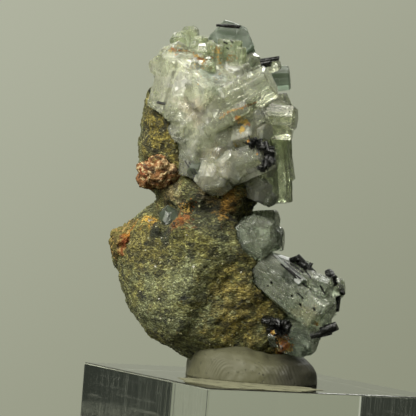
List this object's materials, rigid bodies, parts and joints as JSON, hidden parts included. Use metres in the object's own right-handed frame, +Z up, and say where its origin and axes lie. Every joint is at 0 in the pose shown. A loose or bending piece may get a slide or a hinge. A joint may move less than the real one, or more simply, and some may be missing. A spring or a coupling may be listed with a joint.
{
  "type": "aquamarine with schorl",
  "caption": "Mineral specimen: pale aquamarine crystals with black schorl on micaceous matrix, held upright by grey putty on a clear square display block.",
  "frame": {"origin": "middle of the display block's underside", "axes": "+Z up; +X and +Y along the block's sides; the side that the picture shows faces the corner between -X and -Y, 28.3 degrees from -Y"},
  "size_m": [0.0406, 0.038, 0.0632],
  "materials": {
    "matrix": "rough, fine grained, micaceous, greenish grey with ochre stains",
    "feldspar": "rough, iron stained, pinkish red to orange",
    "aquamarine": "clear to cloudy pale blue green crystal, glassy faces",
    "schorl": "black, glossy, striated",
    "putty": "soft grey mineral putty, pressed by fingers",
    "acrylic": "clear polished acrylic"
  },
  "bodies": {
    "root": {"matrix": "matrix", "feldspar_pink": "feldspar", "feldspar_orange": "feldspar", "aquamarine_upper": "aquamarine", "aquamarine_lower": "aquamarine", "schorl_cap": "schorl", "schorl_crown_blade": "schorl", "schorl_shoulder_blade": "schorl", "schorl_hook": "schorl", "schorl_rim": "schorl", "schorl_edge": "schorl", "schorl_prism": "schorl", "schorl_patch": "schorl", "schorl_sliver": "schorl", "putty": "putty", "display_block": "acrylic"}
  },
  "joints": []
}
